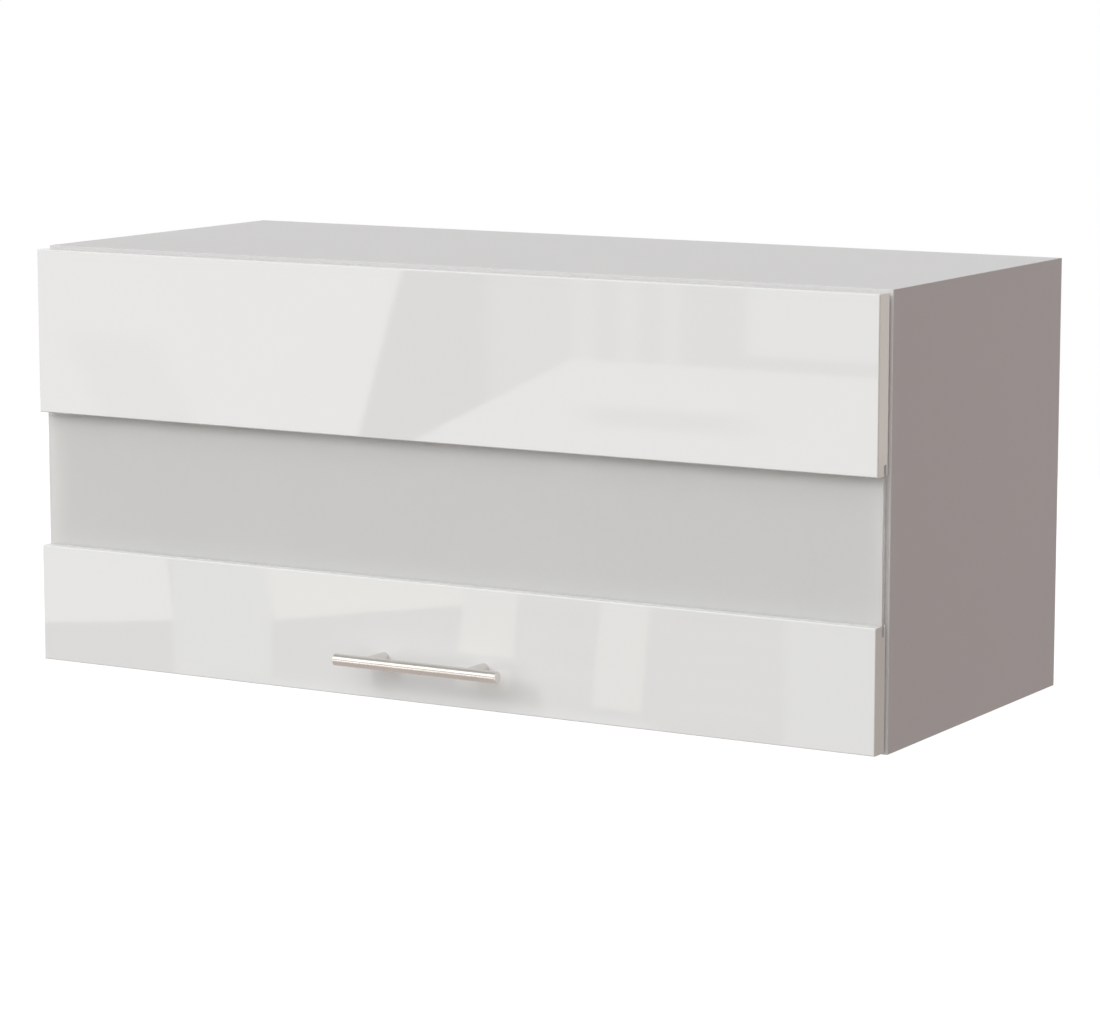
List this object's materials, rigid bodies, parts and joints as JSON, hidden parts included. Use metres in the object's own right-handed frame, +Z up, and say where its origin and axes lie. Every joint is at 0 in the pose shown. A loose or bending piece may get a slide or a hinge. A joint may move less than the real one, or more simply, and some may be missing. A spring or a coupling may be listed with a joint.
{
  "type": "lift up wall cabinet",
  "caption": "Wall cabinet with one top-hung flap of gloss boards and frosted glass, cup hinges, gas struts, bar handle and rail hangers.",
  "frame": {"origin": "on the wall plane at the underside, at the middle of the width", "axes": "+Z up, +Y towards the wall, +X to the right as seen from the front"},
  "size_m": [0.8, 0.376, 0.36],
  "materials": {
    "melamine": "white melamine facing, fine satin texture",
    "hardboard": "white lacquered inside, plain brown towards the wall",
    "edging": "satin white strip",
    "cam_zinc": "die-cast zinc",
    "plain_steel": "zinc plated",
    "pale_plastic": "moulded, fine matt",
    "beech": "turned beech",
    "nickel": "nickel plated",
    "bright_steel": "bright plated",
    "gloss_board": "high gloss white lacquer",
    "frosted_glass": "acid-etched, matt",
    "seal": "soft translucent strip",
    "brushed_steel": "brushed along the bar",
    "bumper": "clear silicone",
    "strut_paint": "light grey paint",
    "dark_plastic": "moulded",
    "rod_chrome": "hard chrome",
    "piston": "turned"
  },
  "bodies": {
    "carcass": {"side_panel_left": "melamine", "side_panel_right": "melamine", "top_panel": "melamine", "bottom_panel": "melamine", "back_board": "hardboard", "edging_left": "edging", "edging_right": "edging", "edging_top": "edging", "edging_bottom": "edging", "cam_locks": "cam_zinc", "cam_bolts": "plain_steel", "cam_caps": "pale_plastic", "dowels": "beech", "hanger_housing_left": "pale_plastic", "hanger_housing_right": "pale_plastic", "hanger_hook_left": "plain_steel", "hanger_hook_right": "plain_steel", "hanger_screws": "plain_steel", "hanger_cover_left": "pale_plastic", "hanger_cover_right": "pale_plastic", "hinge_plate_left": "nickel", "hinge_plate_right": "nickel", "hinge_arm_left": "nickel", "hinge_arm_right": "nickel", "hinge_plate_screws": "bright_steel", "hinge_arm_screws": "bright_steel", "strut_plate_left": "nickel", "strut_plate_right": "nickel", "side_ball_studs": "bright_steel", "strut_plate_screws": "bright_steel"},
    "door": {"upper_board": "gloss_board", "lower_board": "gloss_board", "glass_pane": "frosted_glass", "upper_seal": "seal", "lower_seal": "seal", "handle_bar": "brushed_steel", "handle_posts": "brushed_steel", "handle_screws": "bright_steel", "hinge_cup_left": "nickel", "hinge_cup_right": "nickel", "hinge_pins": "bright_steel", "hinge_cup_screws": "bright_steel", "strut_bracket_left": "nickel", "strut_bracket_right": "nickel", "door_ball_studs": "bright_steel", "strut_bracket_screws": "bright_steel", "door_bumpers": "bumper"},
    "strut_barrels": {"strut_barrel_left": "strut_paint", "strut_barrel_right": "strut_paint", "rod_guides": "dark_plastic", "barrel_socket_left": "dark_plastic", "barrel_socket_right": "dark_plastic"},
    "strut_rods": {"strut_rod_left": "rod_chrome", "strut_rod_right": "rod_chrome", "pistons": "piston", "rod_socket_left": "dark_plastic", "rod_socket_right": "dark_plastic"}
  },
  "joints": [
    {"name": "flap_hinge", "type": "hinge", "parent": "carcass", "child": "door", "pos_m": [0, -0.3345, 0.3507], "axis": [-1, 0, 0], "range_deg": [0, 80]},
    {"name": "barrel_pivot", "type": "hinge", "parent": "carcass", "child": "strut_barrels", "pos_m": [0, -0.22101, 0.3343], "axis": [-1, 0, 0], "range_deg": [0, 40]},
    {"name": "rod_pivot", "type": "hinge", "parent": "door", "child": "strut_rods", "pos_m": [0, -0.315, 0.2377], "axis": [-1, 0, 0], "range_deg": [-40, 0]}
  ],
  "couplings": [
    {"joint": "barrel_pivot", "follows": "flap_hinge", "ratio": 0.5},
    {"joint": "rod_pivot", "follows": "flap_hinge", "ratio": -0.5}
  ]
}
